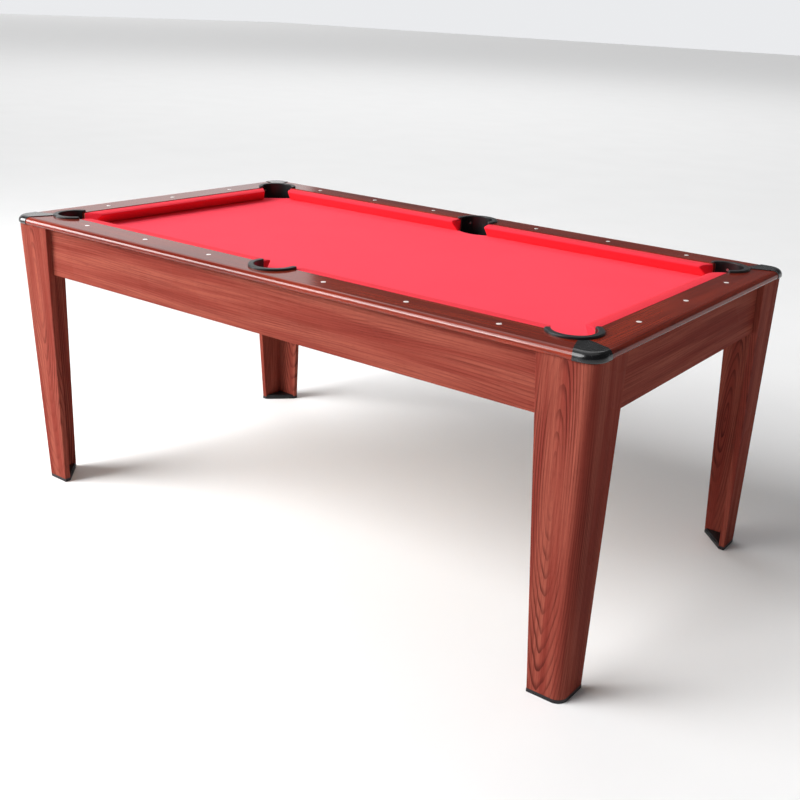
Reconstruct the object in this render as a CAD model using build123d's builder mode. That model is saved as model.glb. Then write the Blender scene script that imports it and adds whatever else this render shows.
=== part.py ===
from build123d import *
import os
from math import cos, radians, sin

os.makedirs("parts", exist_ok=True)

# A six-pocket pool table for the home: wooden rails with covered rubber cushions around a
# cloth-covered bed, four tapered corner legs folded from board, and drop pockets.
# Millimetres, +X along the table, +Z up. The origin is on the floor under the table's centre.

# Gap between pieces that only meet
part_gap = 0.3

# Rails: the wooden top frame
half_length = 918.0
half_width = 512.0
table_height = 790.0
rail_width = 94.0
rail_thickness = 20.0
rail_corner_radius = 40.0
nosing_top_radius = 14.0
nosing_bottom_radius = 5.5
sub_rail_width = 54.0
rail_underside = table_height - rail_thickness
wood_edge_x = half_length - rail_width
wood_edge_y = half_width - rail_width

# Bed: three boards that meet on two beams, and one cloth over them
bed_thickness = 18.0
cloth_thickness = 1.0
cloth_top = 755.0
bed_top = cloth_top - cloth_thickness
bed_underside = bed_top - bed_thickness

# Aprons: the four boards under the rails
board_thickness = 16.0
leg_overhang = 5.0
apron_x = half_length - leg_overhang - board_thickness
apron_y = half_width - leg_overhang - board_thickness
apron_bottom = 638.0
apron_height = rail_underside - apron_bottom
apron_edge_radius = 1.5
apron_inner_x = apron_x - board_thickness
apron_inner_y = apron_y - board_thickness
bed_clearance = 0.5
bed_half_length = apron_inner_x - bed_clearance
bed_half_width = apron_inner_y - bed_clearance
beam_x = 320.0
beam_width = 40.0
beam_depth = 70.0
corner_block_leg = 44.0
corner_block_height = 92.0

# Legs: an L of board on a plastic foot, wider at the top and leaning out
leg_width_top = 133.0
leg_width_bottom = 88.0
leg_lean = 12.5
leg_corner_radius = 26.0
leg_edge_radius = 2.0
foot_thickness = 10.0
foot_boss_height = 4.0
foot_edge_radius = 1.0

# Cushions: rubber nosing wrapped in cloth. The profile is measured in from the wood's edge.
cushion_top = 789.0
cushion_flat = 24.0
nose_depth = 41.0
nose_height = 785.0
cushion_foot = 17.0
cushion_bottom = cloth_top + 0.3
cushion_back_gap = 0.1
nose_radius = 3.0
wrap_thickness = 1.2
corner_mouth_wood = 66.0
corner_mouth_nose_long = 48.0
corner_mouth_nose_end = 58.0
side_mouth_wood = 51.0
side_mouth_nose = 58.0

# Pockets: a plastic liner with a flat rim on the rail, and a cup under the bed
corner_pocket_x = wood_edge_x - 25.0
corner_pocket_y = wood_edge_y - 25.0
pocket_setback = 6.0
side_pocket_y = wood_edge_y + pocket_setback
liner_inner_radius = 47.0
liner_wall = 3.0
liner_outer_radius = liner_inner_radius + liner_wall
rim_width = 14.0
rim_radius = liner_inner_radius + rim_width / 2
skirt_radius = liner_inner_radius + liner_wall / 2
rim_height = 5.5
rim_edge_radius = 2.2
skirt_bottom = bed_underside + 2.0
pocket_cut_radius = liner_outer_radius + part_gap
corner_rim_half_angle = 100.0
corner_skirt_half_angle = 97.0
side_rim_arm = 10.0
side_skirt_arm = 12.0

# Bed's lip at a corner pocket: straight, this far inwards from the pocket's centre
corner_lip_inset = 8.0
corner_lip_sum = corner_pocket_x + corner_pocket_y - corner_lip_inset * 2 ** 0.5
bed_corner_cut = bed_half_length + bed_half_width - corner_lip_sum

# Bed's lip at a side pocket: an arc, with its centre this far outwards from the pocket's
side_lip_offset = 59.4
side_lip_radius = 89.4

cup_radius = 50.0
cup_wall = 2.5
cup_depth = 80.0
cup_floor_z = bed_underside - cup_depth
cup_floor_radius = 6.0
cup_ear_reach = 66.0
cup_ear_width = 18.0
cup_ear_turn = 120.0

# Corner caps: moulded shields that wrap the rail's outer corners. Each side of the outline is
# an arc through three points, as (distance in from the square corner, half width) there.
cap_thickness = 1.8
cap_bottom_radius = 5.0
cap_neck = (110.0, 8.2)
cap_waist = (72.0, 26.2)
cap_end = (36.0, 41.5)

# Sights: round inlays on the rails
sight_radius = 6.0
sight_depth = 2.0
sight_proud = 0.3
sight_inset = 40.0
sight_first = 188.0
sight_spacing = 237.0

# Fasteners
leg_bolt_radius = 4.0
leg_bolt_inset = 72.0
leg_bolt_heights = (664.0, 718.0)
leg_bolt_bite = 10.0
leg_bolt_head_flats = 13.0
leg_bolt_head_height = 5.3
washer_radius = 8.5
washer_thickness = 1.6
rail_screw_radius = 2.5
rail_screw_head_radius = 5.0
rail_screw_head_height = 3.5
rail_screw_inset = 28.0
rail_screw_top = 766.0
foot_screw_radius = 2.0
foot_screw_head_radius = 4.0
foot_screw_head_height = 2.5
foot_screw_recess = 0.5
foot_screw_reach = 52.0
foot_screw_top = 36.0
liner_screw_radius = 1.5
liner_screw_head_radius = 3.2
liner_screw_head_height = 1.8
liner_screw_z = 775.0
liner_screw_angle = 58.0
liner_screw_bite = 12.0
liner_screw_seat = 0.2
cup_screw_radius = 1.75
cup_screw_head_radius = 3.6
cup_screw_head_height = 2.0
cup_screw_bite = 12.0

from_base = (Align.CENTER, Align.CENTER, Align.MIN)

corners = {
    "front_left": (-1, -1),
    "front_right": (1, -1),
    "back_left": (-1, 1),
    "back_right": (1, 1),
}

# Each pocket: centre, and the way it faces outwards
pockets = {
    "front_left": ((-corner_pocket_x, -corner_pocket_y), 225.0),
    "front_right": ((corner_pocket_x, -corner_pocket_y), 315.0),
    "back_left": ((-corner_pocket_x, corner_pocket_y), 135.0),
    "back_right": ((corner_pocket_x, corner_pocket_y), 45.0),
    "front_middle": ((0.0, -side_pocket_y), 270.0),
    "back_middle": ((0.0, side_pocket_y), 90.0),
}


def polar(centre, distance, angle):
    """The point at this distance and angle from a centre in plan."""
    return (centre[0] + distance * cos(radians(angle)), centre[1] + distance * sin(radians(angle)))


def to_corner(shape, sign_x, sign_y):
    """Mirror a shape made at the +X +Y corner to the corner with these signs."""
    if sign_x < 0:
        shape = mirror(shape, about=Plane.YZ)
    if sign_y < 0:
        shape = mirror(shape, about=Plane.XZ)
    return shape


def sight_points():
    """Where the round sights lie on the rails."""
    points = []
    along = [sight_first + sight_spacing * step for step in range(3)]
    for sign_y in (-1, 1):
        for x in along:
            points.append((x, sign_y * (wood_edge_y + sight_inset)))
            points.append((-x, sign_y * (wood_edge_y + sight_inset)))
    for sign_x in (-1, 1):
        for step in (-1, 0, 1):
            points.append((sign_x * (wood_edge_x + sight_inset), step * sight_spacing))
    return points


def rail_screw_points():
    """Where the screws from below hold the rails down."""
    points = []
    for sign_y in (-1, 1):
        for x in (-650.0, -425.0, -200.0, 200.0, 425.0, 650.0):
            points.append((x, sign_y * (wood_edge_y + rail_screw_inset)))
    for sign_x in (-1, 1):
        for y in (-220.0, 0.0, 220.0):
            points.append((sign_x * (wood_edge_x + rail_screw_inset), y))
    return points


def along(axes):
    """Locations at each (point, direction), with their Z along the direction."""
    return [Plane(origin=point, z_dir=direction).location for point, direction in axes]


def leg_bolt_axes():
    """Start point on the apron's inner face, and direction, of each leg bolt."""
    axes = []
    for sign_x, sign_y in corners.values():
        for z in leg_bolt_heights:
            axes.append(((sign_x * (apron_x - leg_bolt_inset), sign_y * apron_inner_y, z), (0, sign_y, 0)))
            axes.append(((sign_x * apron_inner_x, sign_y * (apron_y - leg_bolt_inset), z), (sign_x, 0, 0)))
    return axes


def liner_screw_axes(centre, facing):
    """Start point just inside the liner's curved wall, and direction, of its two screws."""
    axes = []
    for turn in (-liner_screw_angle, liner_screw_angle):
        x, y = polar(centre, liner_inner_radius - liner_screw_seat, facing + turn)
        direction = (cos(radians(facing + turn)), sin(radians(facing + turn)), 0)
        axes.append(((x, y, liner_screw_z), direction))
    return axes


def cup_screw_points(centre, facing):
    """Where the cup's two ears are screwed to the bed."""
    reach = cup_ear_reach - cup_ear_width / 2
    return [polar(centre, reach, facing + turn) for turn in (-cup_ear_turn, cup_ear_turn)]


# ---------------------------------------------------------------- rails


def rail_slab(grow, bottom, bottom_radius):
    """The rounded slab that the rail frame is cut from, grown outwards all round."""
    top = table_height + grow
    with BuildPart() as slab:
        with BuildSketch(Plane.XY.offset(bottom)):
            RectangleRounded(2 * (half_length + grow), 2 * (half_width + grow), rail_corner_radius + grow)
        extrude(amount=top - bottom)
        fillet(slab.edges().group_by(Axis.Z)[-1], nosing_top_radius + grow)
        if bottom_radius > 0:
            fillet(slab.edges().group_by(Axis.Z)[0], bottom_radius)
    return slab.part


def rail_blank():
    """The whole rail frame before it is mitred: top boards and the sub-rails under them."""
    with BuildPart() as blank:
        add(rail_slab(0, rail_underside, nosing_bottom_radius))
        with BuildSketch(Plane.XY.offset(cloth_top)):
            Rectangle(2 * (wood_edge_x + sub_rail_width), 2 * (wood_edge_y + sub_rail_width))
        extrude(amount=rail_underside - cloth_top)
        with BuildSketch(Plane.XY.offset(cloth_top)):
            Rectangle(2 * wood_edge_x, 2 * wood_edge_y)
        extrude(amount=table_height - cloth_top, mode=Mode.SUBTRACT)
        with BuildSketch(Plane.XY.offset(cloth_top)):
            for centre, facing in pockets.values():
                with Locations(centre):
                    Circle(pocket_cut_radius)
            with Locations((0, wood_edge_y + pocket_setback / 2), (0, -wood_edge_y - pocket_setback / 2)):
                Rectangle(2 * pocket_cut_radius, pocket_setback)
        extrude(amount=table_height - cloth_top, mode=Mode.SUBTRACT)
        with BuildSketch(Plane.XY.offset(table_height - sight_depth)):
            with Locations(*sight_points()):
                Circle(sight_radius)
        extrude(amount=sight_depth, mode=Mode.SUBTRACT)
        with BuildSketch(Plane.XY.offset(cloth_top)):
            with Locations(*rail_screw_points()):
                Circle(rail_screw_radius)
        extrude(amount=rail_screw_top - cloth_top, mode=Mode.SUBTRACT)
        for centre, facing in pockets.values():
            with Locations(*along(liner_screw_axes(centre, facing))):
                Cylinder(liner_screw_radius, liner_wall + liner_screw_bite, align=from_base,
                         mode=Mode.SUBTRACT)
    return blank.part


def make_rails():
    """Cut the rail frame into four boards with mitred corners."""
    blank = rail_blank()
    outer = 20.0
    inner = rail_width + 60.0
    long_x = half_length + outer
    short_x = half_length - inner
    far_y = half_width + outer
    near_y = half_width - inner
    wedges = {
        "rail_front": [(-long_x, -far_y), (long_x, -far_y), (short_x, -near_y), (-short_x, -near_y)],
        "rail_back": [(long_x, far_y), (-long_x, far_y), (-short_x, near_y), (short_x, near_y)],
        "rail_left": [(-long_x, far_y), (-long_x, -far_y), (-short_x, -near_y), (-short_x, near_y)],
        "rail_right": [(long_x, -far_y), (long_x, far_y), (short_x, near_y), (short_x, -near_y)],
    }
    for name, outline in wedges.items():
        with BuildPart() as rail:
            with BuildSketch(Plane.XY.offset(cloth_top)):
                with BuildLine():
                    Polyline(*outline, close=True)
                make_face()
            extrude(amount=table_height - cloth_top)
            add(blank, mode=Mode.INTERSECT)
        rail.part.label = name
        export_step(rail.part, f"parts/{name}.step")


def make_sights():
    """The white round inlays, one solid each."""
    with BuildPart() as rail_sights:
        with BuildSketch(Plane.XY.offset(table_height - sight_depth)):
            with Locations(*sight_points()):
                Circle(sight_radius)
        extrude(amount=sight_depth + sight_proud)
    rail_sights.part.label = "rail_sights"
    export_step(rail_sights.part, "parts/rail_sights.step")


# ---------------------------------------------------------------- cushions


def cushion_body(length_wood, length_nose, inset):
    """A cushion along +X with its back on Y = 0, its nose to -Y, and slanting ends.

    length_wood and length_nose are (start, end) along X at the back and at the nose.
    inset shrinks every covered side, for the rubber inside the cloth.
    """
    tip = nose_depth - inset
    top = cushion_top - inset
    bottom = cushion_bottom + inset
    with BuildPart(mode=Mode.PRIVATE) as body:
        with BuildSketch(Plane.YZ.offset(length_wood[0] - 100.0)) as profile:
            with BuildLine():
                Polyline(
                    (-cushion_back_gap, bottom),
                    (-cushion_foot + inset, bottom),
                    (-tip, nose_height - nose_radius),
                    (-tip, nose_height),
                    (-cushion_flat, top),
                    (-cushion_back_gap, top),
                    close=True,
                )
            make_face()
            fillet(profile.vertices().group_by(Axis.X)[0], nose_radius / 2)
        extrude(amount=length_wood[1] - length_wood[0] + 200.0)
        with BuildSketch(Plane.XY.offset(cloth_top)):
            with BuildLine():
                Polyline(
                    (length_wood[0] + inset, 0),
                    (length_wood[1] - inset, 0),
                    (length_nose[1] - inset, -nose_depth),
                    (length_nose[0] + inset, -nose_depth),
                    close=True,
                )
            make_face()
        extrude(amount=table_height - cloth_top, mode=Mode.INTERSECT)
    return body.part


def make_cushion(name, length_wood, length_nose, where):
    """The rubber and its cloth cover, moved to the rail that they belong to."""
    whole = where * cushion_body(length_wood, length_nose, 0.0)
    core = where * cushion_body(length_wood, length_nose, wrap_thickness)
    with BuildPart() as rubber:
        add(core)
    rubber.part.label = f"cushion_rubber_{name}"
    export_step(rubber.part, f"parts/cushion_rubber_{name}.step")
    with BuildPart() as cover:
        add(whole)
        add(core, mode=Mode.SUBTRACT)
    cover.part.label = f"cushion_cloth_{name}"
    export_step(cover.part, f"parts/cushion_cloth_{name}.step")


def make_cushions():
    """Two cushions on each long rail and one on each end rail."""
    nose_x = wood_edge_x - nose_depth
    nose_y = wood_edge_y - nose_depth
    long_wood = (side_mouth_wood, wood_edge_x - corner_mouth_wood)
    long_nose = (side_mouth_nose, nose_x - corner_mouth_nose_long)
    mirrored_wood = (-long_wood[1], -long_wood[0])
    mirrored_nose = (-long_nose[1], -long_nose[0])
    end_wood = (corner_mouth_wood - wood_edge_y, wood_edge_y - corner_mouth_wood)
    end_nose = (corner_mouth_nose_end - nose_y, nose_y - corner_mouth_nose_end)
    back = Pos(0, wood_edge_y, 0)
    front = Pos(0, -wood_edge_y, 0) * Rot(0, 0, 180)
    make_cushion("back_left", mirrored_wood, mirrored_nose, back)
    make_cushion("back_right", long_wood, long_nose, back)
    make_cushion("front_left", long_wood, long_nose, front)
    make_cushion("front_right", mirrored_wood, mirrored_nose, front)
    make_cushion("left", end_wood, end_nose, Pos(-wood_edge_x, 0, 0) * Rot(0, 0, 90))
    make_cushion("right", end_wood, end_nose, Pos(wood_edge_x, 0, 0) * Rot(0, 0, -90))


# ---------------------------------------------------------------- bed


def side_notch(sign_y, bottom):
    """A sketch of the notch at one side pocket, open outwards and with a curved lip."""
    with BuildSketch(Plane.XY.offset(bottom)) as notch:
        with Locations((0, sign_y * side_pocket_y)):
            Rectangle(2 * pocket_cut_radius, 4 * pocket_cut_radius)
        with Locations((0, sign_y * (side_pocket_y + side_lip_offset))):
            Circle(side_lip_radius, mode=Mode.INTERSECT)
    return notch.sketch


def bed_blank(bottom, thickness):
    """The bed's outline as one slab: corners cut off at their pockets, a notch at each side."""
    with BuildPart() as blank:
        with BuildSketch(Plane.XY.offset(bottom)) as outline:
            Rectangle(2 * bed_half_length, 2 * bed_half_width)
            chamfer(outline.vertices(), bed_corner_cut)
            with Locations(*rail_screw_points()):
                Circle(rail_screw_radius, mode=Mode.SUBTRACT)
        extrude(amount=thickness)
        for sign_y in (-1, 1):
            extrude(side_notch(sign_y, bottom), amount=thickness, mode=Mode.SUBTRACT)
    return blank.part


def make_bed():
    """The three bed boards, the cloth stretched over them, and the beams under their joints."""
    whole_bed = bed_blank(bed_underside, bed_thickness)
    boards = {
        "left": (-bed_half_length, -beam_x),
        "middle": (-beam_x, beam_x),
        "right": (beam_x, bed_half_length),
    }
    for name, (start, end) in boards.items():
        with BuildPart() as bed_board:
            with BuildSketch(Plane.XY.offset(bed_underside)):
                with Locations(((start + end) / 2, 0)):
                    Rectangle(end - start, 2 * bed_half_width)
            extrude(amount=bed_thickness)
            add(whole_bed, mode=Mode.INTERSECT)
            with BuildSketch(Plane.XY.offset(bed_underside)):
                for centre, facing in pockets.values():
                    with Locations(*cup_screw_points(centre, facing)):
                        Circle(cup_screw_radius)
            extrude(amount=cup_screw_bite, mode=Mode.SUBTRACT)
        bed_board.part.label = f"bed_board_{name}"
        export_step(bed_board.part, f"parts/bed_board_{name}.step")

    with BuildPart() as bed_cloth:
        add(bed_blank(bed_top, cloth_thickness))
    bed_cloth.part.label = "bed_cloth"
    export_step(bed_cloth.part, "parts/bed_cloth.step")

    for name, x in (("left", -beam_x), ("right", beam_x)):
        with BuildPart() as bed_beam:
            with BuildSketch(Plane.XY.offset(bed_underside)):
                with Locations((x, 0)):
                    Rectangle(beam_width, 2 * apron_inner_y)
            extrude(amount=-beam_depth)
        bed_beam.part.label = f"bed_beam_{name}"
        export_step(bed_beam.part, f"parts/bed_beam_{name}.step")


# ---------------------------------------------------------------- aprons


def make_apron(name, centre, length, width, outer_axis):
    """One apron board with its bolt holes. outer_axis points out of the table."""
    with BuildPart() as apron:
        with BuildSketch(Plane.XY.offset(apron_bottom)):
            with Locations(centre):
                Rectangle(length, width)
        extrude(amount=apron_height)
        fillet(apron.faces().sort_by(outer_axis)[-1].edges().sort_by(Axis.Z)[0], apron_edge_radius)
        with Locations(*along(leg_bolt_axes())):
            Cylinder(leg_bolt_radius, board_thickness, align=from_base, mode=Mode.SUBTRACT)
    apron.part.label = f"apron_{name}"
    export_step(apron.part, f"parts/apron_{name}.step")


def make_aprons():
    """Long aprons run right through; the end aprons fit between them."""
    middle_y = apron_y - board_thickness / 2
    middle_x = apron_x - board_thickness / 2
    make_apron("front", (0, -middle_y), 2 * apron_x, board_thickness, -Axis.Y)
    make_apron("back", (0, middle_y), 2 * apron_x, board_thickness, Axis.Y)
    make_apron("left", (-middle_x, 0), board_thickness, 2 * apron_inner_y, -Axis.X)
    make_apron("right", (middle_x, 0), board_thickness, 2 * apron_inner_y, Axis.X)


# ---------------------------------------------------------------- legs


def leg_section(z, outer_x, outer_y, width):
    """The leg's L at a height, with its outer corner and outer edges rounded."""
    inner_x = outer_x - board_thickness
    inner_y = outer_y - board_thickness
    with BuildSketch(Plane.XY.offset(z)) as section:
        with BuildLine():
            Polyline(
                (outer_x, outer_y),
                (outer_x - width, outer_y),
                (outer_x - width, inner_y),
                (inner_x, inner_y),
                (inner_x, outer_y - width),
                (outer_x, outer_y - width),
                close=True,
            )
        make_face()
        fillet(section.vertices().sort_by(Axis((0, 0, 0), (1, 1, 0)))[-1], leg_corner_radius)
        long_end = section.vertices().sort_by(Axis.X)[:2].sort_by(Axis.Y)[-1]
        short_end = section.vertices().sort_by(Axis.Y)[:2].sort_by(Axis.X)[-1]
        fillet([long_end, short_end], leg_edge_radius)
    return section.sketch


def foot_outline(outer_x, outer_y, width):
    """Points of the foot plate: the leg's L filled in along its inner side."""
    inner_x = outer_x - board_thickness
    inner_y = outer_y - board_thickness
    return [
        (outer_x, outer_y),
        (outer_x - width, outer_y),
        (outer_x - width, inner_y),
        (inner_x, outer_y - width),
        (outer_x, outer_y - width),
    ]


def foot_screw_points():
    """The two screws of the foot at the +X +Y corner."""
    outer_x = half_length - leg_overhang - leg_lean
    outer_y = half_width - leg_overhang - leg_lean
    middle = board_thickness / 2
    return [(outer_x - foot_screw_reach, outer_y - middle), (outer_x - middle, outer_y - foot_screw_reach)]


def make_legs():
    """Four legs, the blocks inside their corners, and their feet."""
    top_x = half_length - leg_overhang
    top_y = half_width - leg_overhang
    bottom_x = top_x - leg_lean
    bottom_y = top_y - leg_lean
    diagonal = Axis((0, 0, 0), (1, 1, 0))

    with BuildPart() as leg_shape:
        loft([
            leg_section(foot_thickness, bottom_x, bottom_y, leg_width_bottom),
            leg_section(rail_underside, top_x, top_y, leg_width_top),
        ])
        with BuildSketch(Plane.XY.offset(apron_bottom)):
            Rectangle(2 * apron_x, 2 * apron_y)
        extrude(amount=apron_height, mode=Mode.SUBTRACT)
        with BuildSketch(Plane.XY.offset(foot_thickness)):
            with Locations(*foot_screw_points()):
                Circle(foot_screw_radius)
        extrude(amount=foot_screw_top - foot_thickness, mode=Mode.SUBTRACT)
        with Locations(*along(leg_bolt_axes())):
            Cylinder(leg_bolt_radius, board_thickness + leg_bolt_bite, align=from_base,
                     mode=Mode.SUBTRACT)

    with BuildPart() as foot_shape:
        with BuildSketch() as plate:
            with BuildLine():
                Polyline(*foot_outline(bottom_x, bottom_y, leg_width_bottom), close=True)
            make_face()
            fillet(plate.vertices().sort_by(diagonal)[-1], leg_corner_radius)
        extrude(amount=foot_thickness)
        fillet(foot_shape.edges().group_by(Axis.Z)[0], foot_edge_radius)
        inner_x = bottom_x - board_thickness - part_gap
        inner_y = bottom_y - board_thickness - part_gap
        boss_leg = leg_width_bottom - board_thickness - 4.0
        with BuildSketch(Plane.XY.offset(foot_thickness)):
            with BuildLine():
                Polyline((inner_x, inner_y), (inner_x - boss_leg, inner_y), (inner_x, inner_y - boss_leg),
                         close=True)
            make_face()
        extrude(amount=foot_boss_height)
        with Locations(*[(x, y, 0) for x, y in foot_screw_points()]):
            Cylinder(foot_screw_radius, foot_thickness, align=from_base, mode=Mode.SUBTRACT)
            Cylinder(foot_screw_head_radius, foot_screw_recess + foot_screw_head_height,
                     align=from_base, mode=Mode.SUBTRACT)

    with BuildPart() as block_shape:
        with BuildSketch(Plane.XY.offset(bed_underside - 1.0)):
            with BuildLine():
                Polyline((apron_inner_x, apron_inner_y), (apron_inner_x - corner_block_leg, apron_inner_y),
                         (apron_inner_x, apron_inner_y - corner_block_leg), close=True)
            make_face()
        extrude(amount=-corner_block_height)
        chamfer(block_shape.edges().filter_by(Axis.Z).sort_by(diagonal)[:2], 6.0)

    for corner, (sign_x, sign_y) in corners.items():
        leg = to_corner(leg_shape.part, sign_x, sign_y)
        leg.label = f"leg_{corner}"
        export_step(leg, f"parts/leg_{corner}.step")
        foot = to_corner(foot_shape.part, sign_x, sign_y)
        foot.label = f"foot_{corner}"
        export_step(foot, f"parts/foot_{corner}.step")

    with BuildPart() as corner_blocks:
        for sign_x, sign_y in corners.values():
            add(to_corner(block_shape.part, sign_x, sign_y))
    corner_blocks.part.label = "corner_blocks"
    export_step(corner_blocks.part, "parts/corner_blocks.step")


# ---------------------------------------------------------------- caps


def cap_point(station, side):
    """A point of the cap's outline at the +X +Y corner; side is 1 towards +X, -1 towards +Y."""
    reach, half_width_there = station
    corner = (half_length, half_width)
    return polar(polar(corner, reach, 225), side * half_width_there, 315)


def make_caps():
    """Four shields over the rail corners, each with a neck that runs to the pocket's rim."""
    outside = 6.0
    end_low = cap_point(cap_end, 1)
    end_high = cap_point(cap_end, -1)
    far_x = half_length + outside
    far_y = half_width + outside
    with BuildPart() as cap_shape:
        with BuildSketch(Plane.XY.offset(rail_underside)):
            with BuildLine():
                ThreePointArc(cap_point(cap_neck, 1), cap_point(cap_waist, 1), end_low)
                Polyline(end_low, (far_x, end_low[1]), (far_x, far_y), (end_high[0], far_y), end_high)
                ThreePointArc(end_high, cap_point(cap_waist, -1), cap_point(cap_neck, -1))
                Line(cap_point(cap_neck, -1), cap_point(cap_neck, 1))
            make_face()
            with Locations((corner_pocket_x, corner_pocket_y)):
                Circle(liner_inner_radius + rim_width + part_gap, mode=Mode.SUBTRACT)
        extrude(amount=table_height + cap_thickness - rail_underside)
        add(rail_slab(cap_thickness, rail_underside, cap_bottom_radius), mode=Mode.INTERSECT)
        add(rail_slab(0.0, rail_underside, nosing_bottom_radius), mode=Mode.SUBTRACT)
    for corner, (sign_x, sign_y) in corners.items():
        cap = to_corner(cap_shape.part, sign_x, sign_y)
        cap.label = f"corner_cap_{corner}"
        export_step(cap, f"parts/corner_cap_{corner}.step")


# ---------------------------------------------------------------- pockets


def horseshoe(name, radius, half_angle, arm):
    """A line round a pocket: an arc, ended by straight arms on the side pockets."""
    centre, facing = pockets[name]
    with BuildLine() as path:
        if name.endswith("middle"):
            start = polar(centre, radius, facing - 90)
            end = polar(centre, radius, facing + 90)
            Line(polar(start, -arm, facing), start)
            CenterArc(centre, radius, facing - 90, 180)
            Line(end, polar(end, -arm, facing))
        else:
            CenterArc(centre, radius, facing - half_angle, 2 * half_angle)
    return path.wire()


def make_liner(name):
    """A pocket's liner: a flat horseshoe rim on the rail and a curved skirt below it."""
    centre, facing = pockets[name]
    with BuildPart() as liner:
        with BuildSketch(Plane.XY.offset(table_height)):
            SlotArc(horseshoe(name, rim_radius, corner_rim_half_angle, side_rim_arm), rim_width)
        extrude(amount=rim_height)
        fillet(liner.edges().group_by(Axis.Z)[-1], rim_edge_radius)
        with BuildSketch(Plane.XY.offset(skirt_bottom)):
            SlotArc(horseshoe(name, skirt_radius, corner_skirt_half_angle, side_skirt_arm), liner_wall)
        extrude(amount=table_height - skirt_bottom)
        with Locations(*along(liner_screw_axes(centre, facing))):
            Cylinder(liner_screw_radius, liner_wall + 1.0, align=from_base, mode=Mode.SUBTRACT)
    liner.part.label = f"pocket_liner_{name}"
    export_step(liner.part, f"parts/pocket_liner_{name}.step")


def make_cup(name):
    """The cup that catches the balls under the bed, with two ears for its screws."""
    centre, facing = pockets[name]
    with BuildPart() as cup:
        with BuildSketch(Plane.XY.offset(cup_floor_z)):
            with Locations(centre):
                Circle(cup_radius)
        extrude(amount=cup_depth)
        fillet(cup.edges().group_by(Axis.Z)[0], cup_floor_radius)
        with BuildSketch(Plane.XY.offset(bed_underside - cup_wall)):
            for turn in (-cup_ear_turn, cup_ear_turn):
                x, y = polar(centre, cup_ear_reach / 2, facing + turn)
                with Locations(Location((x, y, 0), (0, 0, facing + turn))):
                    SlotOverall(cup_ear_reach, cup_ear_width)
        extrude(amount=cup_wall)
        with BuildSketch(Plane.XY.offset(cup_floor_z + cup_wall)):
            with Locations(centre):
                Circle(cup_radius - cup_wall)
        extrude(amount=cup_depth, mode=Mode.SUBTRACT)
        with BuildSketch(Plane.XY.offset(bed_underside - cup_wall)):
            with Locations(*cup_screw_points(centre, facing)):
                Circle(cup_screw_radius)
        extrude(amount=cup_wall, mode=Mode.SUBTRACT)
    cup.part.label = f"pocket_cup_{name}"
    export_step(cup.part, f"parts/pocket_cup_{name}.step")


def make_pockets():
    """Six liners and six cups."""
    for name in pockets:
        make_liner(name)
        make_cup(name)


# ---------------------------------------------------------------- fasteners


def make_leg_fasteners():
    """The bolts that hold the legs to the aprons, and their washers."""
    axes = leg_bolt_axes()
    inwards = [Plane(origin=point, z_dir=-Vector(*direction)) for point, direction in axes]
    under_heads = [plane.offset(washer_thickness) for plane in inwards]
    with BuildPart() as leg_bolts:
        with BuildSketch(*under_heads):
            Circle(leg_bolt_radius)
        extrude(amount=-(washer_thickness + board_thickness + leg_bolt_bite))
        with BuildSketch(*under_heads):
            RegularPolygon(leg_bolt_head_flats / 2, 6, major_radius=False)
        extrude(amount=leg_bolt_head_height)
    leg_bolts.part.label = "leg_bolts"
    export_step(leg_bolts.part, "parts/leg_bolts.step")

    with BuildPart() as leg_washers:
        with BuildSketch(*inwards):
            Circle(washer_radius)
            Circle(leg_bolt_radius, mode=Mode.SUBTRACT)
        extrude(amount=washer_thickness)
    leg_washers.part.label = "leg_washers"
    export_step(leg_washers.part, "parts/leg_washers.step")


def make_screws():
    """Pan-head screws: rails from below, feet, liners and cups."""
    with BuildPart() as rail_screws:
        with BuildSketch(Plane.XY.offset(bed_underside)):
            with Locations(*rail_screw_points()):
                Circle(rail_screw_radius)
        extrude(amount=rail_screw_top - bed_underside)
        with BuildSketch(Plane.XY.offset(bed_underside)):
            with Locations(*rail_screw_points()):
                Circle(rail_screw_head_radius)
        extrude(amount=-rail_screw_head_height)
    rail_screws.part.label = "rail_screws"
    export_step(rail_screws.part, "parts/rail_screws.step")

    all_feet = [(sign_x * x, sign_y * y) for sign_x, sign_y in corners.values() for x, y in foot_screw_points()]
    with BuildPart() as foot_screws:
        with BuildSketch(Plane.XY.offset(foot_screw_recess)):
            with Locations(*all_feet):
                Circle(foot_screw_radius)
        extrude(amount=foot_screw_top - foot_screw_recess)
        with BuildSketch(Plane.XY.offset(foot_screw_recess)):
            with Locations(*all_feet):
                Circle(foot_screw_head_radius)
        extrude(amount=foot_screw_head_height)
    foot_screws.part.label = "foot_screws"
    export_step(foot_screws.part, "parts/foot_screws.step")

    with BuildPart() as liner_screws:
        for centre, facing in pockets.values():
            with Locations(*along(liner_screw_axes(centre, facing))):
                Cylinder(liner_screw_radius, liner_wall + liner_screw_bite, align=from_base)
                Cylinder(liner_screw_head_radius, liner_screw_head_height,
                         align=(Align.CENTER, Align.CENTER, Align.MAX))
    liner_screws.part.label = "liner_screws"
    export_step(liner_screws.part, "parts/liner_screws.step")

    ear_bottom = bed_underside - cup_wall
    with BuildPart() as cup_screws:
        for centre, facing in pockets.values():
            points = cup_screw_points(centre, facing)
            with BuildSketch(Plane.XY.offset(ear_bottom)):
                with Locations(*points):
                    Circle(cup_screw_radius)
            extrude(amount=bed_underside + cup_screw_bite - ear_bottom)
            with BuildSketch(Plane.XY.offset(ear_bottom)):
                with Locations(*points):
                    Circle(cup_screw_head_radius)
            extrude(amount=-cup_screw_head_height)
    cup_screws.part.label = "cup_screws"
    export_step(cup_screws.part, "parts/cup_screws.step")


make_rails()
make_sights()
make_cushions()
make_bed()
make_aprons()
make_legs()
make_caps()
make_pockets()
make_leg_fasteners()
make_screws()
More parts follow.
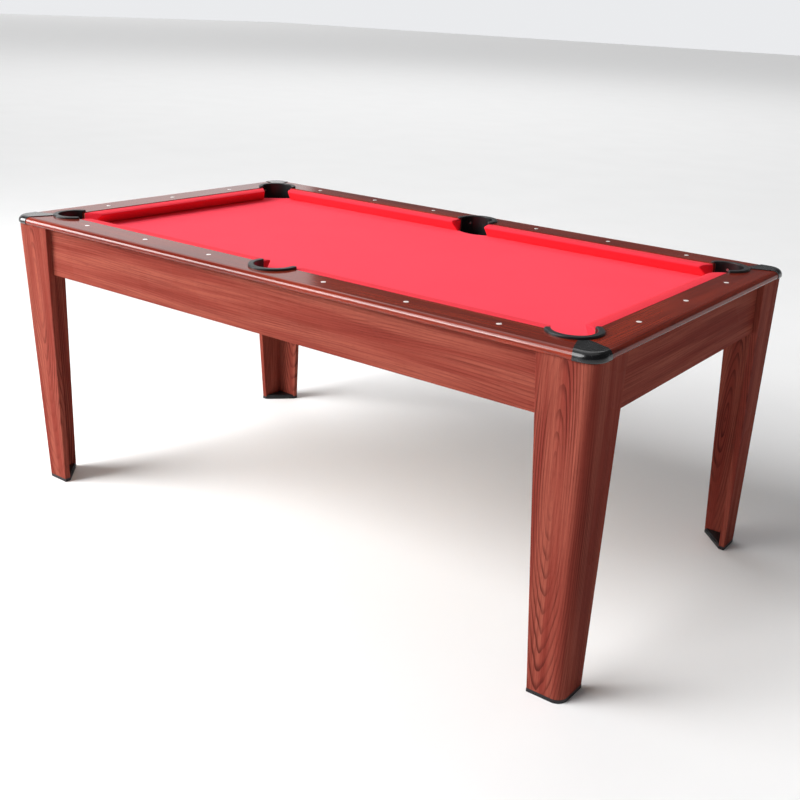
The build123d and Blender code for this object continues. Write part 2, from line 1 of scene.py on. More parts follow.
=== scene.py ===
import math

import bpy
from mathutils import Matrix, Vector


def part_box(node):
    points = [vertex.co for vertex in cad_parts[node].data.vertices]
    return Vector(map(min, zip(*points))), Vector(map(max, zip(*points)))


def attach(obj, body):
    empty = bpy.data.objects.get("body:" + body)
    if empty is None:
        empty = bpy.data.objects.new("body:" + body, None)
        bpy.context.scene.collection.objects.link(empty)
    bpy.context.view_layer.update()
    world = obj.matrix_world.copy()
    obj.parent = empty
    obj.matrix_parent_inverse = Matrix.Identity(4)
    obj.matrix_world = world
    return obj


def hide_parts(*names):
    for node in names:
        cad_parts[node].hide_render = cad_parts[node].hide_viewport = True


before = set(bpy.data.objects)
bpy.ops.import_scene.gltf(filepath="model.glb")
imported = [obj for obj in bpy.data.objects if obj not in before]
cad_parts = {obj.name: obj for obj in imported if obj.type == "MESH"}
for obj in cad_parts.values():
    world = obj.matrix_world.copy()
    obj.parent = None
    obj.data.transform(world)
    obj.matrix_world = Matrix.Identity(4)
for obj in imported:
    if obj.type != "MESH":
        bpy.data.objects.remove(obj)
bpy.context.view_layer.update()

NAMES = sorted(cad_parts)
MM = 0.001


# ---------------------------------------------------------------- node helpers


def tone(r, g, b):
    """A colour given as 0-255 display values, as linear RGBA."""
    linear = []
    for value in (r, g, b):
        c = value / 255.0
        linear.append(c / 12.92 if c <= 0.04045 else ((c + 0.055) / 1.055) ** 2.4)
    return (*linear, 1.0)


class Graph:
    """A material's node tree, with short calls that add nodes and return sockets."""

    def __init__(self, name):
        self.material = bpy.data.materials.new(name)
        self.material.use_nodes = True
        self.tree = self.material.node_tree
        self.tree.nodes.clear()
        self.coords = self.node("TexCoord").outputs

    def node(self, kind, inputs=None, **settings):
        made = self.tree.nodes.new("ShaderNode" + kind)
        for key, value in settings.items():
            setattr(made, key, value)
        for key, value in (inputs or {}).items():
            if isinstance(value, bpy.types.NodeSocket):
                self.tree.links.new(value, made.inputs[key])
            else:
                made.inputs[key].default_value = value
        return made

    def math(self, operation, a, b=0.0, c=0.0):
        return self.node("Math", {0: a, 1: b, 2: c}, operation=operation).outputs[0]

    def dot(self, vector, weights):
        made = self.node("VectorMath", {0: vector, 1: weights}, operation="DOT_PRODUCT")
        return made.outputs["Value"]

    def vector(self, x, y, z=0.0):
        return self.node("CombineXYZ", {0: x, 1: y, 2: z}).outputs[0]

    def noise(self, vector, scale=1.0, detail=2.0, roughness=0.5):
        inputs = {"Vector": vector, "Scale": scale, "Detail": detail, "Roughness": roughness}
        return self.node("TexNoise", inputs).outputs["Fac"]

    def grain(self, u, w, density, shift=0.0, **settings):
        """Noise on a flat (u, w), with density as its scales along the two."""
        across = self.math("MULTIPLY", u, density[0])
        along = self.math("MULTIPLY", w, density[1])
        return self.noise(self.vector(across, along, shift), **settings)

    def step(self, value, low, high, to_low=0.0, to_high=1.0):
        inputs = {"Value": value, "From Min": low, "From Max": high, "To Min": to_low, "To Max": to_high}
        return self.node("MapRange", inputs, interpolation_type="SMOOTHSTEP").outputs["Result"]

    def mix(self, factor, a, b):
        return self.node("Mix", {0: factor, 6: a, 7: b}, data_type="RGBA").outputs[2]

    def bump(self, height, distance, strength=1.0):
        inputs = {"Height": height, "Distance": distance, "Strength": strength}
        return self.node("Bump", inputs).outputs["Normal"]

    def finish(self, **inputs):
        """Close the tree with a Principled shader; Base_Color stands for the input Base Color."""
        named = {key.replace("_", " "): value for key, value in inputs.items()}
        shader = self.node("BsdfPrincipled", named)
        self.node("OutputMaterial", {"Surface": shader.outputs[0]})
        return self.material


# ---------------------------------------------------------------- materials

# Light, middle, deep and line colours of the printed wood
BOARD_TONES = (tone(149, 78, 64), tone(130, 57, 47), tone(98, 36, 30), tone(56, 21, 19))
RAIL_TONES = (tone(142, 48, 28), tone(114, 34, 20), tone(82, 23, 14), tone(50, 14, 10))

# The clear coat's weight and roughness
RAIL_COAT = (0.9, 0.1)
BOARD_COAT = (0.06, 0.22)

STRAIGHT_LINES = 150.0  # growth lines per metre across a straight-grained board
FIGURE_LINES = 170.0  # growth lines per metre out from the middle of a cathedral figure
FIGURE_SLIM = 0.13  # the figure's width against its height
FIGURE_DRIFT = 0.05  # how far the figure wanders sideways, in metres
STRAIGHT_INK = 0.36  # how strongly the growth lines are printed
FIGURE_INK = 0.8


def wood(name, across, along, seed, tones, coat, heart=None):
    """Printed rosewood laminate: fine streaks, dark growth lines and pores under a clear coat.

    across and along are weights on the position, so that the grain runs the right way on the
    board. heart is (place across, place along) of a cathedral figure; without it the lines run
    straight. coat is the clear coat's weight and roughness.
    """
    g = Graph(name)
    light, middle, deep, dark = tones
    place = g.coords["Object"]
    u = g.dot(place, across)
    w = g.dot(place, along)
    drift = g.grain(u, w, (5.0, 1.1), seed + 3.0, detail=1.0)
    waver = g.grain(u, w, (34.0, 3.5), seed + 9.0)
    if heart is None:
        ink = STRAIGHT_INK
        rings = g.math("MULTIPLY_ADD", drift, 15.0, g.math("MULTIPLY", u, STRAIGHT_LINES))
    else:
        ink = FIGURE_INK
        side = g.math("SUBTRACT", u, heart[0] + FIGURE_DRIFT / 2)
        side = g.math("MULTIPLY_ADD", drift, FIGURE_DRIFT, side)
        rise = g.math("MULTIPLY", g.math("SUBTRACT", w, heart[1]), FIGURE_SLIM)
        spread = g.math("SQRT", g.math("MULTIPLY_ADD", side, side, g.math("MULTIPLY", rise, rise)))
        rings = g.math("MULTIPLY", spread, FIGURE_LINES)
    rings = g.math("MULTIPLY_ADD", waver, 1.5, rings)
    phase = g.math("FRACT", rings)
    line = g.math("MULTIPLY", g.step(phase, 0.45, 0.92), g.step(phase, 1.0, 0.93))
    weight = g.grain(u, w, (22.0, 2.0), seed + 21.0)
    line = g.math("MULTIPLY", line, g.step(weight, 0.38, 0.66, 0.1, 1.0))
    streak = g.grain(u, w, (300.0, 4.0), seed + 5.0, detail=3.0, roughness=0.65)
    band = g.grain(u, w, (30.0, 1.4), seed + 13.0)
    pore = g.step(g.grain(u, w, (1300.0, 50.0), seed + 17.0, detail=1.0), 0.6, 0.72)
    ground = g.mix(g.step(band, 0.35, 0.65), light, middle)
    ground = g.mix(g.math("MULTIPLY", g.step(streak, 0.38, 0.68), 0.5), ground, deep)
    colour = g.mix(g.math("MULTIPLY", line, ink), ground, dark)
    colour = g.mix(g.math("MULTIPLY", pore, 0.3), colour, dark)
    relief = g.math("MULTIPLY_ADD", pore, -0.6, g.math("MULTIPLY", line, -0.4))
    smudge = g.noise(place, scale=3.0, detail=3.0)
    gloss, roughness = coat
    return g.finish(
        Base_Color=colour,
        Roughness=g.step(smudge, 0.3, 0.7, 0.42, 0.5),
        Specular_IOR_Level=0.0,
        Normal=g.bump(relief, 0.00008),
        Coat_Weight=gloss,
        Coat_Roughness=g.step(smudge, 0.3, 0.7, roughness, roughness * 1.5),
        Coat_IOR=1.45,
        Coat_Normal=g.bump(g.noise(place, scale=60.0, detail=1.0), 0.00003),
    )


def timber(name, across, along, light, dark):
    """Plain sawn softwood or fibreboard."""
    g = Graph(name)
    place = g.coords["Object"]
    u = g.dot(place, across)
    w = g.dot(place, along)
    grain = g.grain(u, w, (60.0, 4.0), detail=4.0, roughness=0.65)
    speck = g.noise(place, scale=700.0, detail=2.0)
    colour = g.mix(g.step(grain, 0.3, 0.7), light, dark)
    colour = g.mix(g.math("MULTIPLY", g.step(speck, 0.5, 0.8), 0.3), colour, dark)
    return g.finish(Base_Color=colour, Roughness=0.8, Normal=g.bump(grain, 0.0003))


THREAD_PITCH = 0.7 * MM


def cloth(name, base, shade):
    """Woven billiard cloth: a fine plain weave with a short nap. Its UV map is in metres."""
    g = Graph(name)
    flat = g.coords["UV"]
    place = g.coords["Object"]
    u = g.dot(flat, (1.0, 0.0, 0.0))
    v = g.dot(flat, (0.0, 1.0, 0.0))
    turns = 2.0 * math.pi / THREAD_PITCH
    warp = g.math("SINE", g.math("MULTIPLY", u, turns))
    weft = g.math("SINE", g.math("MULTIPLY", v, turns))
    weave = g.math("MULTIPLY", warp, weft)
    nap = g.grain(u, v, (900.0, 300.0), detail=3.0, roughness=0.7)
    fuzz = g.noise(place, scale=2400.0, detail=2.0)
    patch = g.noise(place, scale=6.0, detail=3.0)
    colour = g.mix(g.step(nap, 0.25, 0.75, 0.0, 0.4), base, shade)
    colour = g.mix(g.step(patch, 0.35, 0.65, 0.0, 0.12), colour, shade)
    # Half of the weave's cells are made a tenth darker: painted shade in the hollows between the threads.
    colour = g.mix(g.step(weave, -1.0, 0.0, 0.10, 0.0), colour, shade)
    height = g.math("MULTIPLY_ADD", fuzz, 0.6, g.math("MULTIPLY_ADD", nap, 0.8, weave))
    return g.finish(
        Base_Color=colour,
        Roughness=0.88,
        Specular_IOR_Level=0.18,
        Sheen_Weight=0.08,
        Sheen_Roughness=0.5,
        Sheen_Tint=tone(255, 150, 150),
        Normal=g.bump(height, 0.00004, 0.6),
    )


def plastic(name, base, low, high, coat=0.0, grain=0.00003):
    """Moulded plastic with a fine spark texture and light handling marks."""
    g = Graph(name)
    place = g.coords["Object"]
    spark = g.noise(place, scale=1800.0, detail=2.0)
    wave = g.noise(place, scale=22.0, detail=2.0)
    rub = g.noise(place, scale=14.0, detail=5.0, roughness=0.7)
    colour = g.mix(g.step(rub, 0.5, 0.75, 0.0, 0.25), base, tone(70, 70, 74))
    height = g.math("MULTIPLY_ADD", wave, 3.0, spark)
    return g.finish(
        Base_Color=colour,
        Roughness=g.step(rub, 0.35, 0.7, low, high),
        Specular_IOR_Level=0.35,
        Coat_Weight=coat,
        Coat_Roughness=0.06,
        Normal=g.bump(height, grain),
    )


def bone(name):
    """White inlay plastic, very slightly clouded."""
    g = Graph(name)
    place = g.coords["Object"]
    cloud = g.noise(place, scale=180.0, detail=3.0)
    colour = g.mix(g.step(cloud, 0.4, 0.7, 0.0, 0.35), tone(250, 248, 246), tone(226, 220, 214))
    return g.finish(Base_Color=colour, Roughness=0.25, Coat_Weight=0.4, Coat_Roughness=0.1,
                    Normal=g.bump(cloud, 0.00003))


def zinc(name):
    """Zinc-plated steel with turning marks."""
    g = Graph(name)
    place = g.coords["Object"]
    marks = g.noise(place, scale=900.0, detail=3.0, roughness=0.7)
    spangle = g.noise(place, scale=120.0, detail=2.0)
    colour = g.mix(spangle, tone(196, 198, 196), tone(160, 162, 158))
    return g.finish(Base_Color=colour, Metallic=1.0, Roughness=g.step(marks, 0.3, 0.7, 0.25, 0.45),
                    Normal=g.bump(marks, 0.00002))


def rubber(name):
    """Raw moulded rubber, inside the cushions."""
    g = Graph(name)
    place = g.coords["Object"]
    dust = g.noise(place, scale=60.0, detail=4.0)
    colour = g.mix(g.step(dust, 0.4, 0.7), tone(120, 96, 74), tone(150, 124, 98))
    return g.finish(Base_Color=colour, Roughness=0.8, Normal=g.bump(dust, 0.0002))


# ---------------------------------------------------------------- CAD nodes: finish


def paint(node, material):
    """Give a CAD node its material."""
    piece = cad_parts[node]
    piece.data.materials.clear()
    piece.data.materials.append(material)


RUBY = cloth("bed_cloth", tone(253, 68, 88), tone(238, 50, 70))
# The bed's red cloth again, made darker: painted shade on the cushions, which are covered with the same
# cloth as the bed.
RUBY_CUSHION_SHADED = cloth("cushion_cloth", tone(236, 50, 68), tone(214, 32, 48))
PINE_TONES = (tone(214, 178, 128), tone(168, 126, 80))
PINE_Y = timber("pine_along_y", (1.0, 0.0, 1.0), (0.0, 1.0, 0.0), *PINE_TONES)
PINE_Z = timber("pine_along_z", (1.0, 1.0, 0.0), (0.0, 0.0, 1.0), *PINE_TONES)
FIBRE = timber("fibreboard", (1.0, 0.3, 0.5), (0.3, 1.0, 0.5), tone(176, 142, 104), tone(140, 108, 76))
LINER_BLACK = plastic("liner_black", tone(20, 20, 21), 0.3, 0.46)
CUP_BLACK = plastic("cup_black", tone(20, 20, 21), 0.5, 0.7, grain=0.00006)
CAP_BLACK = plastic("cap_black", tone(12, 12, 14), 0.2, 0.3, coat=0.5, grain=0.00001)
FOOT_BLACK = plastic("foot_black", tone(18, 18, 20), 0.4, 0.6, grain=0.00005)
WHITE = bone("sight_white")
ZINC = zinc("zinc_steel")
GUM = rubber("cushion_rubber")

# Which way each side's boards run, and the weights on the position that follow from it
RUNS = {"front": "x", "back": "x", "left": "y", "right": "y"}
ALONG = {"x": (1.0, 0.0, 0.0), "y": (0.0, 1.0, 0.0)}
RAIL_ACROSS = {"x": (0.0, 1.0, 0.6), "y": (1.0, 0.0, 0.6)}
APRON_ACROSS = {"x": (0.0, 0.3, 1.0), "y": (0.3, 0.0, 1.0)}
UPRIGHT = (0.0, 0.0, 1.0)

CORNERS = ("front_left", "front_right", "back_left", "back_right")
FIGURE_HEIGHT = 0.62  # of the first leg's cathedral figure; each next leg's is a little lower
FIGURE_DROP = 0.09

HARDWARE = ("_bolts", "_screws", "_washers")
PLAIN_FINISHES = {
    "corner_block": (PINE_Z, "raw_timber"),
    "bed_beam": (PINE_Y, "raw_timber"),
    "bed_board": (FIBRE, "bed_board"),
    "pocket_liner": (LINER_BLACK, "pocket_plastic"),
    "pocket_cup": (CUP_BLACK, "cup_plastic"),
    "corner_cap": (CAP_BLACK, "cap_plastic"),
    "foot": (FOOT_BLACK, "foot_plastic"),
    "rail_sights": (WHITE, "sight_plastic"),
    "cushion_rubber": (GUM, "cushion_rubber"),
}


def paint_side(number, side):
    """Wood for the rail and the apron of one side, each with its own figure."""
    run = RUNS[side]
    rail = wood(f"rail_wood_{side}", RAIL_ACROSS[run], ALONG[run], 31.0 + 7.0 * number,
                RAIL_TONES, RAIL_COAT)
    apron = wood(f"apron_wood_{side}", APRON_ACROSS[run], ALONG[run], 3.0 + 11.0 * number,
                 BOARD_TONES, BOARD_COAT)
    paint(f"rail_{side}", rail)
    paint(f"apron_{side}", apron)


def paint_leg(number, corner):
    """Wood for one leg, with a cathedral figure up the middle of its front or back face."""
    low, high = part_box(f"leg_{corner}")
    middle = (low + high) / 2
    across = (-math.copysign(1.0, middle.x), math.copysign(1.0, middle.y), 0.0)
    heart = (abs(middle.y) + (high.y - low.y) / 2 - abs(middle.x), FIGURE_HEIGHT - FIGURE_DROP * number)
    leg = wood(f"leg_wood_{corner}", across, UPRIGHT, 51.0 + 5.0 * number, BOARD_TONES, BOARD_COAT, heart)
    paint(f"leg_{corner}", leg)


def paint_plain(node):
    """The finish of hardware and of each part that is named in PLAIN_FINISHES."""
    if node.endswith(HARDWARE):
        paint(node, ZINC)
        return
    for start, (material, slot) in PLAIN_FINISHES.items():
        if node.startswith(start):
            paint(node, material)


for number, side in enumerate(RUNS):
    paint_side(number, side)
for number, corner in enumerate(CORNERS):
    paint_leg(number, corner)
for node in NAMES:
    paint_plain(node)


# ---------------------------------------------------------------- meshes


def place_in_scene(name, data):
    """A new object for a mesh, light or camera, linked to the scene."""
    made = bpy.data.objects.new(name, data)
    bpy.context.scene.collection.objects.link(made)
    return made


def make_mesh(name, points, faces, uvs, material):
    """A smooth-shaded object. uvs holds one (u, v) in metres per point."""
    mesh = bpy.data.meshes.new(name)
    mesh.from_pydata(points, [], faces)
    layer = mesh.uv_layers.new(name="UVMap")
    for loop in mesh.loops:
        layer.data[loop.index].uv = uvs[loop.vertex_index]
    mesh.polygons.foreach_set("use_smooth", [True] * len(mesh.polygons))
    mesh.materials.append(material)
    mesh.validate()
    return place_in_scene(name, mesh)


def rounded(corners, steps=5):
    """A closed outline through corners given as (x, y, radius), each rounded by an arc."""
    outline = []
    count = len(corners)
    for i, (x, y, radius) in enumerate(corners):
        here = Vector((x, y))
        before = Vector(corners[i - 1][:2]) - here
        after = Vector(corners[(i + 1) % count][:2]) - here
        if radius <= 0:
            outline.append(here)
            continue
        half = before.angle(after) / 2
        reach = min(radius / math.tan(half), before.length * 0.48, after.length * 0.48)
        true_radius = reach * math.tan(half)
        inward = (before.normalized() + after.normalized()).normalized()
        centre = here + inward * (true_radius / math.sin(half))
        start = here + before.normalized() * reach - centre
        end = here + after.normalized() * reach - centre
        turn = start.angle_signed(end)
        for step in range(steps + 1):
            arm = start.copy()
            arm.rotate(Matrix.Rotation(-turn * step / steps, 2))
            outline.append(centre + arm)
    return outline


def resample(outline, spacing):
    """The same closed outline with extra points on its long straight stretches."""
    dense = []
    for i, here in enumerate(outline):
        after = outline[(i + 1) % len(outline)]
        parts = max(1, math.ceil((after - here).length / spacing))
        dense += [here.lerp(after, part / parts) for part in range(parts)]
    return dense


# The cushion's section: distance in from the wood's edge, height, and corner radius, in mm
CUSHION_SECTION = [
    (0.2, 755.4, 0.0), (16.5, 755.4, 1.5), (40.2, 781.8, 2.2), (41.2, 785.3, 2.6),
    (31.0, 788.4, 16.0), (14.0, 789.1, 20.0), (4.0, 788.7, 3.0), (1.4, 787.6, 1.2),
    (0.7, 784.6, 0.8), (0.2, 784.0, 0.0),
]
NOSE_REACH = 41.0 * MM  # from the wood to the nose
SECTION_STEP = 3.5 * MM
LENGTH_STEP = 7.0 * MM

# The cover's ends: a rounded edge round a slightly sunken flat, which closes in ever smaller loops
END_ROUND = 3.2 * MM
END_STEPS = 6
END_FLAT = 0.93
END_LOOPS = (0.08, 0.3, 0.55, 0.8)

# How far the nose's end stands back from the wood's end, by where the cushion ends
LONG_CORNER_SLANT = 23.0 * MM
END_CORNER_SLANT = 33.0 * MM
SIDE_SLANT = 7.0 * MM


def cushion(name, slants, x_range, place):
    """A covered cushion along +X with its back at Y 0 and its nose to -Y, put in place by a matrix.

    slants are how far the nose's two ends stand back from the wood's ends.
    """
    section = resample(rounded([(x * MM, z * MM, r * MM) for x, z, r in CUSHION_SECTION]), SECTION_STEP)
    middle = sum(section, Vector((0.0, 0.0))) / len(section)
    around = [0.0]
    for before, here in zip(section, section[1:]):
        around.append(around[-1] + (here - before).length)
    low, high = x_range
    count = math.ceil((high - low) / LENGTH_STEP)
    points, uvs, loops = [], [], []

    def add_loop(station, inset, squeeze):
        """One loop round the cover, pulled in by inset or shrunk towards its middle.

        station gives a point's X from where the cushion starts and ends at its depth.
        """
        made = []
        for p, travel in zip(section, around):
            q = middle.lerp(p, squeeze)
            toward = middle - p
            if squeeze == 1.0 and inset > 0:
                q = p + toward.normalized() * min(inset, toward.length * 0.5)
            depth = min(max(q.x / NOSE_REACH, 0.0), 1.0)
            x = station(low + slants[0] * depth, high - slants[1] * depth)
            made.append(len(points))
            points.append(place @ Vector((x, -q.x, q.y)))
            uvs.append((x, travel * squeeze))
        loops.append(made)

    end = [(0.0, 0.0, share * END_FLAT) for share in END_LOOPS]
    for step in range(END_STEPS + 1):
        angle = math.pi / 2 * step / END_STEPS
        end.append((END_ROUND * (1 - math.cos(angle)), END_ROUND * (1 - math.sin(angle)), 1.0))

    for shift, inset, squeeze in end:
        add_loop(lambda first, last: first + shift, inset, squeeze)
    for step in range(1, count):
        add_loop(lambda first, last: first + (last - first) * (step / count), 0.0, 1.0)
    for shift, inset, squeeze in reversed(end):
        add_loop(lambda first, last: last - shift, inset, squeeze)

    faces = []
    for a, b in zip(loops, loops[1:]):
        for i in range(len(a)):
            j = (i + 1) % len(a)
            faces.append((a[i], a[j], b[j], b[i]))
    faces.append(tuple(reversed(loops[0])))
    faces.append(tuple(loops[-1]))
    cover = make_mesh(name, points, faces, uvs, RUBY_CUSHION_SHADED)
    return cover


QUARTER = math.pi / 2
TURNS = {"back": 0.0, "front": 2 * QUARTER, "left": QUARTER, "right": -QUARTER}


def cushion_slants(side, x_low, x_high):
    """The slants at a cushion's two ends: the one nearer the middle of a long side is at a side pocket."""
    if side in ("left", "right"):
        return END_CORNER_SLANT, END_CORNER_SLANT
    if x_high > abs(x_low):
        return SIDE_SLANT, LONG_CORNER_SLANT
    return LONG_CORNER_SLANT, SIDE_SLANT


def cushions():
    """The six covered cushions, each placed from the box of its CAD node."""
    for part in (*CORNERS, "left", "right"):
        low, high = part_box(f"cushion_cloth_{part}")
        side = part.split("_")[0]
        turn = Matrix.Rotation(TURNS[side], 4, "Z")
        a, b = turn.inverted() @ low, turn.inverted() @ high
        back = max(a.y, b.y) + 0.1 * MM
        x_low, x_high = sorted((a.x, b.x))
        place = turn @ Matrix.Translation((0.0, back, 0.0))
        cover = cushion(f"cushion_cover_{part}", cushion_slants(side, x_low, x_high), (x_low, x_high), place)
        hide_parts(f"cushion_cloth_{part}")
        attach(cover, "root")


cushions()

# Bed cloth: where the bed ends at its pockets, measured from each pocket's centre
CORNER_LIP_INSET = 8.0 * MM
SIDE_LIP_OFFSET = 59.4 * MM
SIDE_LIP_RADIUS = 89.4 * MM
NOTCH_HALF_WIDTH = 50.3 * MM
LINER_REACH = 61.0 * MM  # from a pocket's centre to its liner's outer edge
LIP_ROUND = 2.5 * MM
LIP_DROP = 14.0 * MM
CLOTH_CELL = 6.0 * MM
CLOTH_SINK = 0.1 * MM  # below the CAD cloth's top


def pocket_frames():
    """Each pocket's centre, outward direction and whether it is a side pocket, from its liner's box."""
    made = []
    for node in NAMES:
        if not node.startswith("pocket_liner"):
            continue
        low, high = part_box(node)
        middle = (low + high) / 2
        far_x = max(abs(low.x), abs(high.x)) - LINER_REACH
        far_y = max(abs(low.y), abs(high.y)) - LINER_REACH
        at_side = node.endswith("middle")
        if at_side:
            out = Vector((0.0, math.copysign(1.0, middle.y)))
            centre = Vector((middle.x, out.y * far_y))
        else:
            out = Vector((math.copysign(1.0, middle.x), math.copysign(1.0, middle.y)))
            centre = Vector((out.x * far_x, out.y * far_y))
            out.normalize()
        made.append((centre, out, at_side))
    return made


POCKETS = pocket_frames()


def gap(p):
    """Distance from the nearest place that the bed is cut away at, negative inside it."""
    best = 1.0
    for centre, out, at_side in POCKETS:
        if at_side:
            notch = abs(p.x - centre.x) - NOTCH_HALF_WIDTH
            lip = (p - centre - out * SIDE_LIP_OFFSET).length - SIDE_LIP_RADIUS
            best = min(best, max(notch, lip))
        else:
            best = min(best, (centre - p).dot(out) - CORNER_LIP_INSET)
    return best


def slope(p):
    """Unit vector away from the nearest cut-away place."""
    reach = 0.5 * MM
    along_x, along_y = Vector((reach, 0.0)), Vector((0.0, reach))
    v = Vector((gap(p + along_x) - gap(p - along_x), gap(p + along_y) - gap(p - along_y)))
    return v.normalized() if v.length > 0 else Vector((1.0, 0.0))


def flat_cloth(low, high):
    """The flat part's points and faces: a grid whose edge is drawn onto each pocket's lip."""
    columns = math.ceil((high.x - low.x) / CLOTH_CELL)
    rows = math.ceil((high.y - low.y) / CLOTH_CELL)
    flat, index = [], {}
    for i in range(columns + 1):
        for j in range(rows + 1):
            p = Vector((low.x + (high.x - low.x) * i / columns, low.y + (high.y - low.y) * j / rows))
            distance = gap(p) - LIP_ROUND
            if abs(distance) < CLOTH_CELL * 0.5:
                for _ in range(3):
                    p = p - slope(p) * (gap(p) - LIP_ROUND)
                distance = 0.0
            if distance >= 0.0:
                index[i, j] = len(flat)
                flat.append(p)
    faces = []
    for i in range(columns):
        for j in range(rows):
            cell = [index.get(k) for k in ((i, j), (i + 1, j), (i + 1, j + 1), (i, j + 1))]
            kept = [k for k in cell if k is not None]
            if len(kept) < 3:
                continue
            centre = sum((flat[k] for k in kept), Vector((0.0, 0.0))) / len(kept)
            if gap(centre) > LIP_ROUND * 0.6:
                faces.append(tuple(kept))
    return flat, faces


def hem_profile():
    """Steps (out, down) from the flat part's edge, round the lip and down the bed's edge."""
    quarter_steps = [math.pi / 8 * k for k in range(1, 5)]
    profile = [(LIP_ROUND * math.sin(t), LIP_ROUND * (1 - math.cos(t))) for t in quarter_steps]
    return profile + [(LIP_ROUND + 0.1 * MM, LIP_ROUND + 3.0 * MM), (LIP_ROUND + 0.2 * MM, LIP_DROP)]


def bed_cloth():
    """The bed's cloth: flat, with its edge pulled down over the boards' lip at each pocket."""
    low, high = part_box("bed_cloth")
    top = high.z - CLOTH_SINK
    flat, faces = flat_cloth(low, high)
    points = [Vector((p.x, p.y, top)) for p in flat]
    uvs = [(p.x, p.y) for p in flat]
    profile = hem_profile()

    def hang(k):
        """The chain of points that hangs from the flat part's point k."""
        p = flat[k]
        inward = -slope(p)
        chain = [k]
        length = 0.0
        last = (0.0, 0.0)
        for out, down in profile:
            length += math.hypot(out - last[0], down - last[1])
            last = (out, down)
            q = p + inward * out
            chain.append(len(points))
            points.append(Vector((q.x, q.y, top - down)))
            uvs.append((p.x + inward.x * length, p.y + inward.y * length))
        return chain

    sides = {}
    for face in faces:
        for a, b in zip(face, face[1:] + face[:1]):
            sides[a, b] = face
    lip = [(a, b) for a, b in sides
           if (b, a) not in sides and gap(flat[a]) < CLOTH_CELL and gap(flat[b]) < CLOTH_CELL]
    hem = {}
    for a, b in lip:
        for k in (a, b):
            if k not in hem:
                hem[k] = hang(k)
    for a, b in lip:
        for k in range(len(profile)):
            faces.append((hem[b][k], hem[a][k], hem[a][k + 1], hem[b][k + 1]))

    sheet = make_mesh("bed_cloth_sheet", points, faces, uvs, RUBY)
    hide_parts("bed_cloth")
    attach(sheet, "root")


bed_cloth()


# ---------------------------------------------------------------- studio


FLOOR_HALF = 60.0
FLOOR_TONES = ((0.89, 0.89, 0.89, 1.0), (0.93, 0.93, 0.93, 1.0))

# The sky is pale near the horizon and dark above, so that glossy tops stay deep in colour
SKY_COLOUR = (0.97, 0.98, 1.0, 1.0)
HORIZON_BAND = {"From Min": 0.06, "From Max": 0.17, "To Min": 0.85, "To Max": 0.08}

SUN_FROM = Vector((-0.42, -0.62, 0.66))
SUN_ENERGY = 2.45
SUN_ANGLE = 38.0


def facing(aim, along):
    """A rotation that points a light along aim, with its long side as near as can be to along."""
    back = -Vector(aim).normalized()
    right = (Vector(along) - back * Vector(along).dot(back)).normalized()
    return Matrix((right, back.cross(right), back)).transposed().to_euler()


def area_light(name, place, target, size, power, along=None):
    """A soft rectangular light aimed at a point."""
    data = bpy.data.lights.new(name, "AREA")
    data.shape = "RECTANGLE"
    data.size, data.size_y = size
    data.energy = power
    lamp = place_in_scene(name, data)
    lamp.location = place
    aim = Vector(target) - Vector(place)
    lamp.rotation_euler = aim.to_track_quat("-Z", "Y").to_euler() if along is None else facing(aim, along)


def studio_floor():
    """A wide pale floor, which isn't part of the table."""
    g = Graph("studio_floor")
    mottle = g.noise(g.coords["Object"], scale=2.0, detail=3.0)
    material = g.finish(Base_Color=g.mix(mottle, *FLOOR_TONES), Roughness=0.9, Specular_IOR_Level=0.1)
    mesh = bpy.data.meshes.new("studio_floor")
    corners = [(x * FLOOR_HALF, y * FLOOR_HALF, 0) for x, y in ((-1, -1), (1, -1), (1, 1), (-1, 1))]
    mesh.from_pydata(corners, [], [(0, 1, 2, 3)])
    mesh.materials.append(material)
    place_in_scene("studio_floor", mesh)


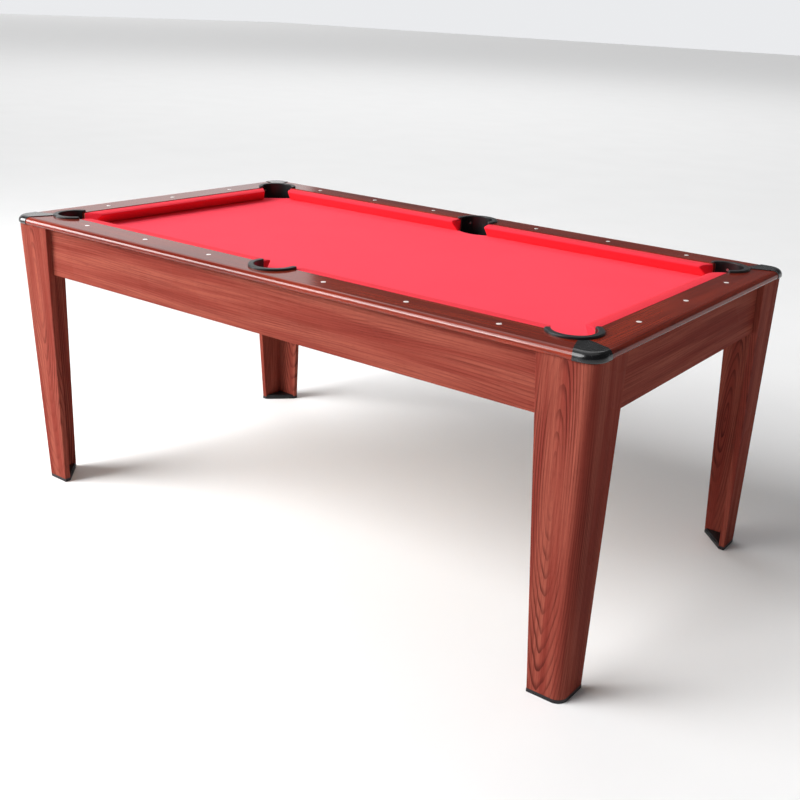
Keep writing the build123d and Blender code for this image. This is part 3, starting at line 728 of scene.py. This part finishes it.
def studio_sky():
    """A world whose strength depends only on the height above the horizon."""
    sky = bpy.data.worlds.new("studio_sky")
    sky.use_nodes = True
    tree = sky.node_tree
    coords = tree.nodes.new("ShaderNodeTexCoord")
    split = tree.nodes.new("ShaderNodeSeparateXYZ")
    band = tree.nodes.new("ShaderNodeMapRange")
    for key, value in HORIZON_BAND.items():
        band.inputs[key].default_value = value
    background = tree.nodes["Background"]
    background.inputs["Color"].default_value = SKY_COLOUR
    tree.links.new(coords.outputs["Generated"], split.inputs[0])
    tree.links.new(split.outputs["Z"], band.inputs["Value"])
    tree.links.new(band.outputs["Result"], background.inputs["Strength"])
    bpy.context.scene.world = sky


def studio_lights():
    """A soft sun from the front left and four large soft lights."""
    data = bpy.data.lights.new("key", "SUN")
    data.energy = SUN_ENERGY
    data.angle = math.radians(SUN_ANGLE)
    place_in_scene("key", data).rotation_euler = SUN_FROM.to_track_quat("Z", "Y").to_euler()

    # A far softbox that the left rail tops mirror
    turn = math.radians(64.0)
    out = Vector((-math.sin(turn), math.cos(turn), 0.0))
    softbox = Vector((1.7, -2.2, 0.0)) + out * 90.0 + Vector((0.0, 0.0, 38.0))
    area_light("softbox", softbox, softbox - out, (69.0, 57.0), 10500.0)

    # A long light that the front rail's round edge mirrors from end to end
    area_light("strip", (-3.1, -3.1, 2.3), (0.0, -0.5, 0.8), (4.0, 1.5), 250.0, along=(-0.92, 0.34, -0.2))

    area_light("backdrop", (-9.0, 11.0, 12.0), (-9.0, 11.0, 0.0), (16.0, 16.0), 760.0)
    area_light("overhead", (0.0, 0.0, 5.0), (0.0, 0.0, 0.0), (5.0, 4.0), 32.0)


LENS = 46.95
SENSOR = 36.0
SHIFT = (-0.0762, 0.0008)
CAMERA_PLACE = (1.7462, -2.1639, 1.3716)
CAMERA_TURN = 34.38
CAMERA_DOWN = 20.37
CAMERA_ROLL = 2.89


def camera():
    """The camera at the photo's angle."""
    data = bpy.data.cameras.new("camera")
    data.sensor_width = SENSOR
    data.lens = LENS
    data.shift_x, data.shift_y = SHIFT
    data.clip_end = 200.0
    taker = place_in_scene("camera", data)
    turn = Matrix.Rotation(math.radians(CAMERA_TURN), 4, "Z")
    tilt = Matrix.Rotation(math.radians(90.0 - CAMERA_DOWN), 4, "X")
    roll = Matrix.Rotation(math.radians(CAMERA_ROLL), 4, "Z")
    taker.matrix_world = Matrix.Translation(CAMERA_PLACE) @ turn @ tilt @ roll
    bpy.context.scene.camera = taker


studio_floor()
studio_sky()
studio_lights()
camera()
bpy.context.scene.view_settings.view_transform = "Standard"
